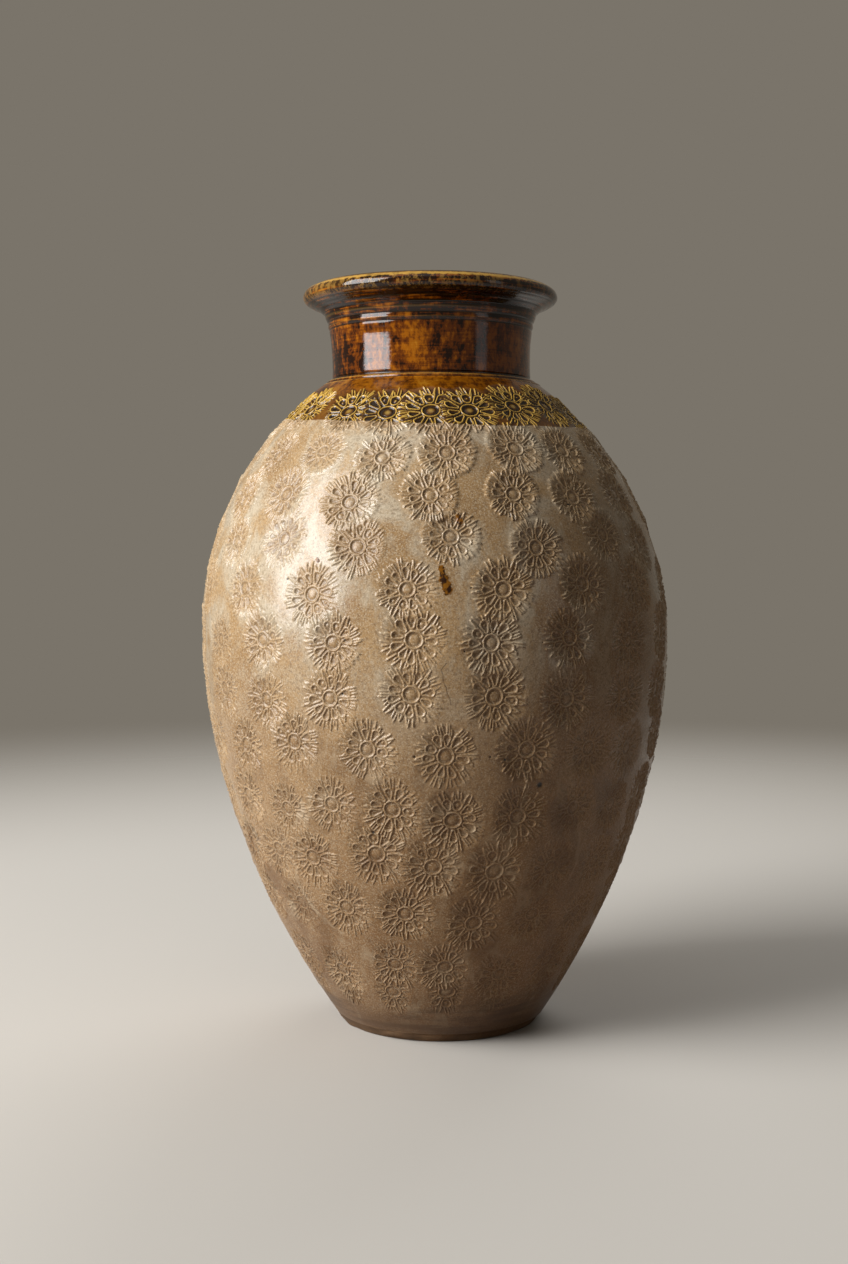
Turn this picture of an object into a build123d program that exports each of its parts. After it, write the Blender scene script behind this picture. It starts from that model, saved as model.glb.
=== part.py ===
from build123d import *
import os

# A stoneware storage jar, built up from clay sections that are luted together.
# Lengths are in millimetres. The jar stands on z = 0, with its axis on Z.

# Foot: a slab with a slim edge, on which the wall is built
foot_radius = 54.4
foot_band_height = 5.0
foot_chamfer = 1.0
foot_flare = 3.4

# Body: the belly and the shoulder set the outline, and the stations between follow them by shares.
# A reach share is the part of the way out to the belly, from the foot or from the shoulder.
belly_radius = 126.8
shoulder_height = 346.5
belly_height_share = 0.616
haunch_height_share = 0.400
haunch_reach_share = 0.867
crown_height_share = 0.935
crown_reach_share = 0.364
shoulder_ledge = 5.5
wall = 9.0

# Stamps: rows of flat-faced rosettes are pressed into the wall, which bends along the middle of each row.
# A row has its share of its arc's length, its count and the angle of one of its stamps from the front.
stamp_radius = 15.5
stamp_sides = 8
stamp_depth = 1.3
stamp_draft_degrees = 15.0
front_degrees = -90.0
lower_row_shares = [0.057, 0.252, 0.453, 0.686]
lower_row_counts = [23, 22, 18, 17]
lower_row_degrees = [4.4, -1.0, -9.8, 1.8]
haunch_row_shares = [0.350, 0.697]
haunch_row_counts = [20, 20]
haunch_row_degrees = [-5.6, 2.0]
girth_row_share = 0.0
girth_row_count = 19
girth_row_degrees = -5.2
dome_row_shares = [0.222, 0.411, 0.613, 0.821]
dome_row_counts = [17, 18, 18, 18]
dome_row_degrees = [-6.3, 3.4, -0.6, 4.2]
crown_row_share = 0.166
crown_row_count = 22
crown_row_degrees = -0.7
crown_bands = 2

# The inner face is beaten smooth in wider bands
inner_lower_rows = 3
inner_haunch_rows = 1
inner_dome_rows = 3
inner_crown_rows = 1

# Luted seams: the edge of the upper section drops by the bevel on its way inwards
seam_bevel = 4.0

# Coils pressed over the seams inside: reach along the faces and rise from the wall
base_coil_reach = 13.0
wall_coil_reach = 10.0
wall_coil_rise = 4.0

# Neck: a thrown collar, straight and then flaring to the lip
throat_radius = 46.0
throat_root_depth = 6.5
neck_wall = 8.0
neck_straight_height = 17.5
flare_height = 23.4
flare = 6.0
groove_width = 1.8
groove_depth = 0.9
groove_shares = [0.40, 0.60, 0.85]

# Ring pressed round the seam between shoulder and neck
neck_ring_height = 3.4
neck_ring_width = 2.2
neck_ring_top_width = 1.0

# Lip: a rolled bead that overhangs the flare
lip_ledge = 2.5
bead_radius = 6.3
bead_sweep_degrees = 200.0
bead_facets = 9
throat_facets = 3


def station(edge, reach_share, height_share):
    """A point of the outer face, part of the way out from an edge to the belly."""
    return Vector(edge.X + (belly_radius - edge.X) * reach_share, shoulder_height * height_share)


# Stations of the outer face, as radius and height
root = Vector(foot_radius + foot_flare, foot_band_height)
neck_outer = Vector(throat_radius + neck_wall, shoulder_height)
shoulder_edge = neck_outer + Vector(shoulder_ledge, 0)
haunch = station(root, haunch_reach_share, haunch_height_share)
belly = Vector(belly_radius, shoulder_height * belly_height_share)
crown = station(shoulder_edge, crown_reach_share, crown_height_share)

# The outer face follows arcs tangent to each other, upright at the belly
haunch_arc = TangentArc(belly, haunch, tangent=(0, -1))
lower_arc = TangentArc(haunch, root, tangent=haunch_arc % 1)
dome_arc = TangentArc(belly, crown, tangent=(0, 1))
crown_arc = TangentArc(crown, shoulder_edge, tangent=dome_arc % 1)


def along(arc, count):
    """Points evenly spaced along an arc, both ends included, so that chords between them make bands."""
    return [arc @ (step / count) for step in range(count + 1)]


def bends(arc, shares):
    """The ends of an arc and the points between them where its rows of stamps lie."""
    return [arc @ 0, *[arc @ share for share in shares], arc @ 1]


def inward(arc, share):
    """The direction square to an arc at a share of its length, on the side of the jar's axis."""
    run = arc % share
    square = Vector(-run.Y, run.X)
    return square if run.Y > 0 else -square


def under(arc, share):
    """The point of the inner face that lies one wall inside a point of an outer arc."""
    return arc @ share + inward(arc, share) * wall


# The inner face lies one wall inside, and thicker where it runs up into the throat
throat_root = Vector(throat_radius, shoulder_height - throat_root_depth)
inner_haunch_arc = TangentArc(under(haunch_arc, 0), under(haunch_arc, 1), tangent=haunch_arc % 0)
inner_lower_arc = TangentArc(under(lower_arc, 0), under(lower_arc, 1), tangent=lower_arc % 0)
inner_dome_arc = TangentArc(under(dome_arc, 0), under(dome_arc, 1), tangent=dome_arc % 0)
inner_crown_arc = TangentArc(under(crown_arc, 0), throat_root, tangent=crown_arc % 0)

# Its points from the girth seam down to the floor, up to the crown seam, and on up to the throat
girth_seam = inner_dome_arc @ 0 - inner_dome_arc % 0 * seam_bevel
crown_seam = inner_crown_arc @ 0 - inner_crown_arc % 0 * seam_bevel
inner_lower_points = [
    girth_seam,
    *along(inner_haunch_arc, inner_haunch_rows)[1:],
    *along(inner_lower_arc, inner_lower_rows)[1:],
]
inner_dome_points = [girth_seam, *along(inner_dome_arc, inner_dome_rows)[1:-1], crown_seam]
inner_crown_points = [crown_seam, *along(inner_crown_arc, inner_crown_rows)[1:]]
floor_edge = inner_lower_points[-1]

# Neck and lip, from the shoulder's land up
neck_inner = Vector(throat_radius, shoulder_height - seam_bevel)
flare_base = neck_outer + Vector(0, neck_straight_height)
lip_seat = flare_base + Vector(flare, flare_height)
throat_top = Vector(throat_radius, lip_seat.Y - seam_bevel)
bead_centre = lip_seat + Vector(lip_ledge, bead_radius)
flare_arc = TangentArc(flare_base, lip_seat, tangent=(0, 1))
bead_arc = CenterArc(bead_centre, bead_radius, -90, bead_sweep_degrees)
throat_arc = TangentArc(bead_arc @ 1, throat_top, tangent=bead_arc % 1)


def groove(share):
    """The three points of a V groove across the flare, turned into it square to its face."""
    middle, half_run = flare_arc @ share, flare_arc % share * (groove_width / 2)
    return [
        middle - half_run,
        middle + inward(flare_arc, share) * groove_depth,
        middle + half_run,
    ]


def hollow():
    """Half of the hollow in the body, on the plane of the outline."""
    with BuildSketch() as half:
        with BuildLine():
            Polyline(
                (0, throat_root.Y),
                *reversed(inner_crown_points),
                *inner_dome_points[-2::-1],
                *inner_lower_points[1:],
                (0, floor_edge.Y),
                close=True,
            )
        make_face()
    return half.sketch


def press_row(arc, share, count, degrees):
    """Presses a row of stamps into the wall that is being built, square to its outer face."""
    outward = -inward(arc, share)
    face = arc @ share - outward * stamp_depth
    face_plane = Plane(origin=(face.X, 0, face.Y), x_dir=(0, 1, 0), z_dir=(outward.X, 0, outward.Y))
    with BuildPart(mode=Mode.PRIVATE) as punch:
        with BuildSketch(face_plane):
            RegularPolygon(stamp_radius, side_count=stamp_sides, rotation=180 / stamp_sides)
        extrude(amount=2 * stamp_depth, taper=-stamp_draft_degrees)
    with PolarLocations(0, count, start_angle=front_degrees + degrees):
        add(punch.part, mode=Mode.SUBTRACT)


def press_rows(arc, shares, counts, first_degrees):
    """Presses every row of stamps of an arc."""
    for share, count, degrees in zip(shares, counts, first_degrees):
        press_row(arc, share, count, degrees)


def coil_outline(seam, arc):
    """A coil pressed over a seam at the foot of an arc: a low ridge in the hollow, and into the wall."""
    reach, rise = arc % 0 * wall_coil_reach, inward(arc, 0)
    with BuildSketch() as outline:
        with BuildLine():
            Polyline(
                seam + reach,
                seam + rise * wall_coil_rise,
                seam - reach,
                seam - rise * wall,
                close=True,
            )
        make_face()
    return outline.sketch


with BuildPart() as base_disc:
    with BuildSketch(Plane.XZ):
        with BuildLine():
            Polyline((0, 0), (foot_radius, 0), root, floor_edge, (0, floor_edge.Y), close=True)
        make_face()
    revolve(axis=Axis.Z)
    chamfer(base_disc.edges().group_by(Axis.Z)[0], length=foot_chamfer)

with BuildPart() as lower_wall:
    with BuildSketch(Plane.XZ):
        with BuildLine():
            outer = Polyline(
                *bends(haunch_arc, haunch_row_shares)[:-1],
                *bends(lower_arc, lower_row_shares)[1:],
            )
            inner = Polyline(*inner_lower_points)
            Line(outer @ 0, inner @ 0)
            Line(outer @ 1, inner @ 1)
        make_face()
    revolve(axis=Axis.Z)
    press_rows(lower_arc, lower_row_shares, lower_row_counts, lower_row_degrees)
    press_rows(haunch_arc, haunch_row_shares, haunch_row_counts, haunch_row_degrees)
    press_row(dome_arc, girth_row_share, girth_row_count, girth_row_degrees)

with BuildPart() as upper_wall:
    with BuildSketch(Plane.XZ):
        with BuildLine():
            outer = Polyline(*bends(dome_arc, dome_row_shares))
            inner = Polyline(*inner_dome_points)
            Line(outer @ 0, inner @ 0)
            Line(outer @ 1, inner @ 1)
        make_face()
    revolve(axis=Axis.Z)
    press_row(dome_arc, girth_row_share, girth_row_count, girth_row_degrees)
    press_rows(dome_arc, dome_row_shares, dome_row_counts, dome_row_degrees)
    press_row(crown_arc, crown_row_share, crown_row_count, crown_row_degrees)

with BuildPart() as shoulder:
    with BuildSketch(Plane.XZ):
        with BuildLine():
            outer = Polyline(*along(crown_arc, crown_bands))
            inner = Polyline(*inner_crown_points)
            Polyline(outer @ 1, neck_outer, neck_inner, inner @ 1)
            Line(outer @ 0, inner @ 0)
        make_face()
    revolve(axis=Axis.Z)
    press_row(crown_arc, crown_row_share, crown_row_count, crown_row_degrees)

with BuildPart() as base_coil:
    with BuildSketch(Plane.XZ):
        with Locations(floor_edge):
            RegularPolygon(base_coil_reach, side_count=4)
        add(hollow(), mode=Mode.INTERSECT)
    revolve(axis=Axis.Z)

with BuildPart() as girth_coil:
    with BuildSketch(Plane.XZ):
        add(coil_outline(girth_seam, inner_dome_arc))
        add(hollow(), mode=Mode.INTERSECT)
    revolve(axis=Axis.Z)

with BuildPart() as shoulder_coil:
    with BuildSketch(Plane.XZ):
        add(coil_outline(crown_seam, inner_crown_arc))
        add(hollow(), mode=Mode.INTERSECT)
    revolve(axis=Axis.Z)

with BuildPart() as neck_collar:
    with BuildSketch(Plane.XZ):
        with BuildLine():
            Polyline(
                neck_inner,
                neck_outer,
                flare_base,
                *[point for share in groove_shares for point in groove(share)],
                lip_seat,
                throat_top,
                close=True,
            )
        make_face()
    revolve(axis=Axis.Z)

with BuildPart() as neck_ring:
    with BuildSketch(Plane.XZ):
        with BuildLine():
            Polyline(
                neck_outer,
                neck_outer + Vector(neck_ring_width, 0),
                neck_outer + Vector(neck_ring_top_width, neck_ring_height),
                neck_outer + Vector(0, neck_ring_height),
                close=True,
            )
        make_face()
    revolve(axis=Axis.Z)

with BuildPart() as rim_roll:
    with BuildSketch(Plane.XZ):
        with BuildLine():
            Polyline(
                lip_seat,
                *along(bead_arc, bead_facets),
                *along(throat_arc, throat_facets)[1:],
                close=True,
            )
        make_face()
    revolve(axis=Axis.Z)

os.makedirs("parts", exist_ok=True)
pieces = {
    "base_disc": base_disc,
    "base_coil": base_coil,
    "lower_wall": lower_wall,
    "girth_coil": girth_coil,
    "upper_wall": upper_wall,
    "shoulder_coil": shoulder_coil,
    "shoulder": shoulder,
    "neck_collar": neck_collar,
    "neck_ring": neck_ring,
    "rim_roll": rim_roll,
}
for name, piece in pieces.items():
    piece.part.label = name
    export_step(piece.part, f"parts/{name}.step")
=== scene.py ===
import math

import bpy
import numpy as np
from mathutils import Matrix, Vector


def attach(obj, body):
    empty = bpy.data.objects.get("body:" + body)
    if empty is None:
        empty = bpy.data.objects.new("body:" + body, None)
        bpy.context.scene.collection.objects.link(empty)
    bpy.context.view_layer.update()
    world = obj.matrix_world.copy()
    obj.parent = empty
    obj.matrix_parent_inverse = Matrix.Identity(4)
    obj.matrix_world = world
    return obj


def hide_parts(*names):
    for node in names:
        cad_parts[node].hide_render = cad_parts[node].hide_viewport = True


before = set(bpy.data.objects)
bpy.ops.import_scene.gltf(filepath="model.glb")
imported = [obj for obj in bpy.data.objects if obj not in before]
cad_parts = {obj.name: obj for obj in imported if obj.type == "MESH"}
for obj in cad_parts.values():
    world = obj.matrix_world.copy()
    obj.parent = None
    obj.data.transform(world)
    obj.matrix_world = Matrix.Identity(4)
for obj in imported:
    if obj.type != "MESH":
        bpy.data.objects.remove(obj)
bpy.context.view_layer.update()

# Lengths are in metres. Azimuths run from the front of the jar towards the photograph's right.
MM = 0.001
TURN = 2 * math.pi
rng = np.random.default_rng(11)

# The outline, as in the CAD part: stations as (radius, height)
ROOT = (57.8 * MM, 5.0 * MM)
HAUNCH = (117.6 * MM, 138.6 * MM)
BELLY = (126.8 * MM, 213.4 * MM)
CROWN = (84.0 * MM, 324.0 * MM)
SHOULDER_EDGE = (59.5 * MM, 346.5 * MM)
FLOOR_HEIGHT = 10.0 * MM
WALL = 9.0 * MM
THROAT_RADIUS = 46.0 * MM
THROAT_ROOT_DEPTH = 6.5 * MM
SEAM_BEVEL = 4.0 * MM

# The jar leans a little to one side, as the kiln left it
LEAN_AT_FOOT = 3.0 * MM
LEAN_AT_TOP = -1.9 * MM
LEAN_HEIGHT = 380.0 * MM

# The photograph's camera
CAMERA_X = -5.5 * MM
CAMERA_DISTANCE = 880.6 * MM
CAMERA_HEIGHT = 265.3 * MM
CAMERA_PITCH = math.radians(3.434)
FOCAL_PIXELS = 1600
IMAGE_WIDTH = 848
IMAGE_HEIGHT = 1264
SENSOR = 36

# A ray to the jar is followed between these shares of the camera's distance
RAY_SPAN = (0.7, 1.05)
RAY_POINTS = 3501

WALL_STEP = 0.4 * MM
WALL_COLUMNS = 2048
NECK_COLUMNS = 960


def unit(v):
    return v / np.linalg.norm(v)


def arc(start, run, end, step=0.25 * MM):
    """Points on the arc that leaves start along run and reaches end, and its direction there."""
    start, run, end = np.array(start), unit(np.array(run, float)), np.array(end)
    square = np.array((-run[1], run[0]))
    chord = end - start
    turn = 2 * math.atan2(chord @ square, chord @ run)
    centre = start + square * (chord @ chord) / (2 * chord @ square)
    length = abs(turn) * np.linalg.norm(start - centre)
    angles = np.linspace(0, turn, math.ceil(length / step) + 1)
    cos, sin = np.cos(angles), np.sin(angles)
    x, y = start - centre
    points = centre + np.stack((cos * x - sin * y, sin * x + cos * y), 1)
    last = (run[0] * cos[-1] - run[1] * sin[-1], run[0] * sin[-1] + run[1] * cos[-1])
    return points, last


def even(points, step):
    """The same line with evenly spaced points, and how far along it each one lies."""
    points = np.asarray(points, float)
    reach = np.concatenate(((0,), np.cumsum(np.linalg.norm(np.diff(points, axis=0), axis=1))))
    at = np.linspace(0, reach[-1], max(2, round(reach[-1] / step) + 1))
    return np.stack([np.interp(at, reach, points[:, k]) for k in (0, 1)], 1), at


def smooth_line(stations, step):
    """A smooth line through stations, with evenly spaced points."""
    p = np.asarray(stations, float)
    p = np.vstack((2 * p[0] - p[1], p, 2 * p[-1] - p[-2]))
    fine = []
    t = np.linspace(0, 1, 24, endpoint=False)[:, None]
    for a, b, c, d in zip(p, p[1:], p[2:], p[3:]):
        square = (2 * a - 5 * b + 4 * c - d) * t**2
        cube = (3 * b - a - 3 * c + d) * t**3
        fine.append(0.5 * (2 * b + (c - a) * t + square + cube))
    fine.append(p[-2:-1])
    return even(np.vstack(fine), step)[0]


def smoothstep(low, high, x):
    """A smooth rise from 0 at low to 1 at high."""
    t = np.clip((x - low) / (high - low), 0, 1)
    return t * t * (3 - 2 * t)


def lean_at(height):
    """How far the jar's middle stands to one side at a height."""
    return LEAN_AT_FOOT + (LEAN_AT_TOP - LEAN_AT_FOOT) * height / LEAN_HEIGHT


haunch_points, run = arc(BELLY, (0, -1), HAUNCH)
lower_points, _ = arc(HAUNCH, run, ROOT)
dome_points, run = arc(BELLY, (0, 1), CROWN)
crown_points, _ = arc(CROWN, run, SHOULDER_EDGE)
meridian, along = even(
    np.vstack((lower_points[::-1], haunch_points[-2::-1], dome_points[1:], crown_points[1:])), WALL_STEP
)
direction = np.gradient(meridian, along, axis=0)
outward = np.stack((direction[:, 1], -direction[:, 0]), 1)
bend = -np.gradient(np.unwrap(np.arctan2(direction[:, 0], direction[:, 1])), along)
bend = np.convolve(np.pad(bend, 10, mode="edge"), np.ones(21) / 21, mode="valid")
wall_azimuth = np.arange(WALL_COLUMNS) / WALL_COLUMNS * TURN


def reach_at(height):
    """How far along the wall's outline a height lies."""
    return float(np.interp(height, meridian[:, 1], along))


def wall_place(x, y):
    """The azimuth and height at which a pixel of the photograph shows the wall."""
    right, up = x - IMAGE_WIDTH / 2, IMAGE_HEIGHT / 2 - y
    cos, sin = math.cos(CAMERA_PITCH), math.sin(CAMERA_PITCH)
    ray = np.array((right, FOCAL_PIXELS * cos + up * sin, up * cos - FOCAL_PIXELS * sin))
    reach = np.linspace(*RAY_SPAN, RAY_POINTS)[:, None] * CAMERA_DISTANCE
    at = (CAMERA_X, -CAMERA_DISTANCE, CAMERA_HEIGHT) + reach * ray / ray[1]
    off = at[:, 0] - lean_at(at[:, 2])
    gap = np.hypot(off, at[:, 1]) - np.interp(at[:, 2], meridian[:, 1], meridian[:, 0])
    first = np.argmax(gap < 0) if (gap < 0).any() else np.argmin(gap)
    return math.atan2(off[first], -at[first, 1]), float(at[first, 2])


def cloud(rows, columns, cells_up, cells_round):
    """Smooth random relief about 1 high on a grid, seamless round the jar."""
    lattice = rng.standard_normal((cells_up + 1, cells_round))
    u = np.arange(columns) / columns * cells_round
    j = np.floor(u).astype(int)
    t = u - j
    t = t * t * (3 - 2 * t)
    across = lattice[:, j % cells_round] * (1 - t) + lattice[:, (j + 1) % cells_round] * t
    v = np.linspace(0, cells_up - 1e-6, rows)
    i = np.floor(v).astype(int)
    t = (v - i)[:, None]
    t = t * t * (3 - 2 * t)
    return across[i] * (1 - t) + across[i + 1] * t


# The face of the one hand-carved stamp: a flower of raised lines round a ring and a boss
STAMP_RADIUS = 16.6 * MM
STAMP_MARGIN = 1.0 * MM
STAMP_PIXEL = 0.1 * MM
RING_RADIUS = 4.1 * MM
RING_LINE = 0.46 * MM
BOSS_RADIUS = 2.4 * MM
BOSS_RISE = 0.6
# the boss shows lighter than its height: thin glaze in the amber, painted highlight in the ash
BOSS_GLAZE_AND_HIGHLIGHT = 1.15
PETAL_BOSS_RISE = 0.7

# Its petals: angle, foot, tip, and half width at the foot and at the tip
PETALS = [
    (90, 5.3 * MM, 10.8 * MM, 1.9 * MM, 2.4 * MM),
    (56, 5.3 * MM, 11.6 * MM, 1.0 * MM, 2.0 * MM),
    (25, 5.2 * MM, 11.0 * MM, 0.7 * MM, 1.8 * MM),
    (-6, 5.2 * MM, 11.9 * MM, 0.8 * MM, 2.0 * MM),
    (-38, 5.2 * MM, 10.8 * MM, 0.7 * MM, 1.8 * MM),
    (-70, 5.2 * MM, 11.6 * MM, 0.8 * MM, 1.9 * MM),
    (-102, 5.2 * MM, 10.6 * MM, 0.7 * MM, 1.7 * MM),
    (-134, 5.2 * MM, 11.5 * MM, 0.8 * MM, 1.9 * MM),
    (-166, 5.2 * MM, 10.9 * MM, 0.7 * MM, 1.8 * MM),
    (162, 5.2 * MM, 11.8 * MM, 0.8 * MM, 2.0 * MM),
    (126, 5.4 * MM, 11.4 * MM, 1.1 * MM, 2.1 * MM),
]
PETAL_LINE = 0.42 * MM
# Small bosses inside petals: angle, distance from the middle, and size
PETAL_BOSSES = [(90, 8.0 * MM, 0.9 * MM), (56, 9.2 * MM, 0.6 * MM), (126, 9.1 * MM, 0.6 * MM)]
HAIRS = 54
HAIR_LINE = 0.34 * MM
HAIR_FOOT_LEAST = 6.8 * MM
HAIR_FOOT_MOST = 14.0 * MM
HAIR_TIPS = (12.8, 17.4)


def carve_stamp():
    """Heights over the stamp's face, from 0 on its floor to 1 on a line, and how light the coat shows on it:
    thin glaze in the amber, painted highlight in the ash.
    """
    draw = np.random.default_rng(5)
    side = np.arange(-STAMP_RADIUS - STAMP_MARGIN, STAMP_RADIUS + STAMP_MARGIN, STAMP_PIXEL)
    x, y = np.meshgrid(side, side)
    reach = np.hypot(x, y)
    ring = reach - RING_RADIUS - 0.12 * MM * np.sin(2 * np.arctan2(y, x) + 1)
    lines = np.exp(-((ring / RING_LINE) ** 2))
    boss = BOSS_RISE * np.sqrt(np.clip(1 - (reach / BOSS_RADIUS) ** 2, 0, 1))

    def stroke(degrees, foot, tip, half_foot, half_tip, line, strength=1.0, curl=0.0):
        """Raises the outline of a petal that lies along a ray, round at both ends, or a plain line."""
        nonlocal lines
        bent = math.radians(degrees) + curl * (reach - foot) / (tip - foot)
        out = x * np.cos(bent) + y * np.sin(bent) - foot - half_foot
        off = -x * np.sin(bent) + y * np.cos(bent)
        run = max(tip - half_tip - foot - half_foot, 0.05 * MM)
        share = np.clip(out / run, 0, 1)
        gap = np.hypot(off, out - share * run) - half_foot - share * (half_tip - half_foot)
        lines = np.maximum(lines, strength * np.exp(-((gap / line) ** 2)))

    for petal in PETALS:
        stroke(*petal, PETAL_LINE, draw.uniform(0.88, 1.0), draw.uniform(-0.05, 0.05))
    for degrees, away, size in PETAL_BOSSES:
        a = math.radians(degrees)
        gap = np.hypot(x - away * math.cos(a), y - away * math.sin(a))
        boss = np.maximum(boss, PETAL_BOSS_RISE * np.exp(-((gap / size) ** 2)))
    for k in range(HAIRS):
        degrees = (k + draw.uniform(-0.25, 0.25)) / HAIRS * 360
        covered = HAIR_FOOT_LEAST
        for angle, _, tip, _, half in PETALS:
            off = abs((degrees - angle + 180) % 360 - 180) * math.pi / 180 * tip
            if off < half + 0.5 * MM:
                covered = max(covered, tip - max(0, off - 0.4 * half) * 0.5 + 0.3 * MM)
        foot = min(covered + draw.uniform(0.0, 0.7) * MM, HAIR_FOOT_MOST)
        tip = max(draw.uniform(*HAIR_TIPS) * MM, foot + 1.5 * MM)
        stroke(degrees, foot, tip, 0, 0, HAIR_LINE, draw.uniform(0.6, 1.0), draw.uniform(-0.10, 0.10))
    return np.stack((np.maximum(lines, boss), np.maximum(lines, BOSS_GLAZE_AND_HIGHLIGHT * boss)))


stamp_maps = carve_stamp()


def stamp_face(x, y):
    """Heights and brightness of the stamp's face at points of it."""
    size = stamp_maps.shape[1]
    u = np.clip((x + STAMP_RADIUS + STAMP_MARGIN) / STAMP_PIXEL, 0, size - 2.001)
    v = np.clip((y + STAMP_RADIUS + STAMP_MARGIN) / STAMP_PIXEL, 0, size - 2.001)
    i, j = v.astype(int), u.astype(int)
    s, t = v - i, u - j
    top = stamp_maps[:, i, j] * (1 - t) + stamp_maps[:, i, j + 1] * t
    low = stamp_maps[:, i + 1, j] * (1 - t) + stamp_maps[:, i + 1, j + 1] * t
    return top * (1 - s) + low * s


# The wall's surface: how far it stands out, the stamps' lines and ground, pits and spilt glaze
rows = len(along)
wall_rise = np.zeros((rows, WALL_COLUMNS))
wall_lines = np.zeros((rows, WALL_COLUMNS))
wall_stamped = np.zeros((rows, WALL_COLUMNS))
wall_pits = np.zeros((rows, WALL_COLUMNS))
wall_drips = np.zeros((rows, WALL_COLUMNS))

# It is a little uneven from coiling and beating: by how much, and cells up and round the jar
UNEVENNESS = [(0.28 * MM, 5, 6), (0.10 * MM, 16, 20), (0.05 * MM, 60, 12)]
for amount, cells_up, cells_round in UNEVENNESS:
    wall_rise += amount * cloud(rows, WALL_COLUMNS, cells_up, cells_round)

# Where a press fades out: its dish, its lines, and its hold on what was there, as distances from the middle
DISH_FADE = (0.4 * STAMP_RADIUS, STAMP_RADIUS + 1.4 * MM)
LINE_FADE = (STAMP_RADIUS - 1.4 * MM, STAMP_RADIUS + 0.9 * MM)
CONTACT_FADE = (STAMP_RADIUS - 2.5 * MM, STAMP_RADIUS)
HELD_DEPTHS = (-0.15 * MM, 0.35 * MM)
REACH_PAST_STAMP = 1.2 * MM
LEAN_ON_LINES = 1.1
GROUND_DROP = 0.3
FLATTENED = 0.85
LINE_TONE = 1.7
GROUND_TONE = 0.7


def press_stamp(azimuth, height, depth, relief, turn, tilt, tilt_way, size=1.0):
    """Presses the stamp into the wall: it flattens the wall where it meets it and leaves its lines raised."""
    here = reach_at(height)
    row = int(np.argmin(np.abs(along - here)))
    radius = meridian[row, 0]
    half = STAMP_RADIUS * size + REACH_PAST_STAMP
    low, high = np.searchsorted(along, (here - half, here + half))
    span = int(math.ceil(half / radius / TURN * WALL_COLUMNS)) + 1
    middle = int(round(azimuth / TURN * WALL_COLUMNS))
    columns = np.arange(middle - span, middle + span + 1)
    off = (columns / WALL_COLUMNS * TURN - azimuth)[None, :] * meridian[low:high, :1]
    up = (along[low:high] - here)[:, None] + 0 * off
    columns %= WALL_COLUMNS
    round_bend = outward[row, 0] / radius
    drop = off**2 * round_bend / 2 + up**2 * abs(bend[row]) / 2
    lean = tilt * (off * math.cos(tilt_way) + up * math.sin(tilt_way)) / STAMP_RADIUS
    floor = -depth * (1 + lean) + drop
    reach = np.hypot(off, up) / size
    ground = 1 - smoothstep(*DISH_FADE, reach)
    held = smoothstep(*HELD_DEPTHS, -floor)
    x = (off * math.cos(turn) + up * math.sin(turn)) / size
    y = (-off * math.sin(turn) + up * math.cos(turn)) / size
    face, bright = stamp_face(x, y)
    grip = (1 - smoothstep(*LINE_FADE, reach)) * held
    grip *= np.clip(1 + LEAN_ON_LINES * lean, 0.15, 1.15)
    window = np.ix_(np.arange(low, high), columns)
    # a stamp pressed over another flattens most of what was there
    contact = (1 - smoothstep(*CONTACT_FADE, reach)) * held
    mean = wall_rise[window] * (1 - FLATTENED * contact)
    carved = relief * (grip * face - GROUND_DROP * ground * held)
    wall_rise[window] = mean + np.minimum(0, floor) * ground + carved
    # tone: light on the lines and boss, dark over the dish; in the amber this is glaze thinning and pooling, in
    # the ash painted highlight and painted shade
    tone = LINE_TONE * grip * bright - GROUND_TONE * ground * held
    wall_lines[window] = wall_lines[window] * (1 - contact) + tone
    wall_stamped[window] = np.maximum(wall_stamped[window], ground * held)


# Rows of stamps from the foot up: stamps round the jar, depth and relief, and the middles of those in front,
# as pixels of the photograph, with a share where the glaze fills one. The rest are spaced round the back.
STAMP_ROWS = [
    (17, 0.5 * MM, 0.46 * MM, [(393, 992), (447, 992)]),
    (17, 0.9 * MM, 0.5 * MM, [(342, 970), (395, 965), (445, 968), (500, 975)]),
    (18, 1.1 * MM, 0.6 * MM, [
        (301, 903, 0.6), (346, 908), (405, 915),
        (474, 924), (533, 915, 0.7), (577, 912, 0.6),
    ]),
    (22, 1 * MM, 0.62 * MM, [
        (278, 850, 0.7), (312, 858), (376, 855), (433, 868),
        (495, 872), (552, 868, 0.6), (595, 862, 0.7),
    ]),
    (23, 1 * MM, 0.64 * MM, [
        (247, 795), (287, 809, 0.8), (331, 805), (392, 810),
        (453, 821), (518, 817), (574, 808, 0.7), (612, 805, 0.7),
    ]),
    (20, 1.2 * MM, 0.72 * MM, [
        (245, 745), (293, 742), (367, 750), (446, 757),
        (528, 750), (590, 748, 0.6), (628, 748, 0.7),
    ]),
    (20, 1.2 * MM, 0.74 * MM, [(265, 700), (329, 699), (411, 695), (495, 697), (568, 699), (626, 695)]),
    (19, 1.25 * MM, 0.78 * MM, [
        (219, 640, 0.6), (261, 640, 0.8), (332, 643), (414, 640),
        (492, 643), (571, 637), (630, 640),
    ]),
    (17, 1.25 * MM, 0.8 * MM, [(243, 588, 0.7), (311, 594), (407, 589), (504, 589), (584, 583), (637, 583)]),
    (18, 1.25 * MM, 0.78 * MM, [(283, 538, 0.5), (357, 546), (451, 536), (537, 547), (604, 534), (640, 545)]),
    (18, 1.2 * MM, 0.8 * MM, [(285, 493, 0.4), (349, 501), (430, 494), (514, 493), (574, 496), (616, 493)]),
    (18, 1.1 * MM, 0.74 * MM, [(322, 450, 0.35), (382, 456), (447, 451), (516, 447), (563, 449)]),
    (22, 1.1 * MM, 0.8 * MM, [
        (310, 408), (348, 410), (387, 411), (431, 409),
        (470, 409), (514, 405), (546, 405),
    ]),
]

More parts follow.
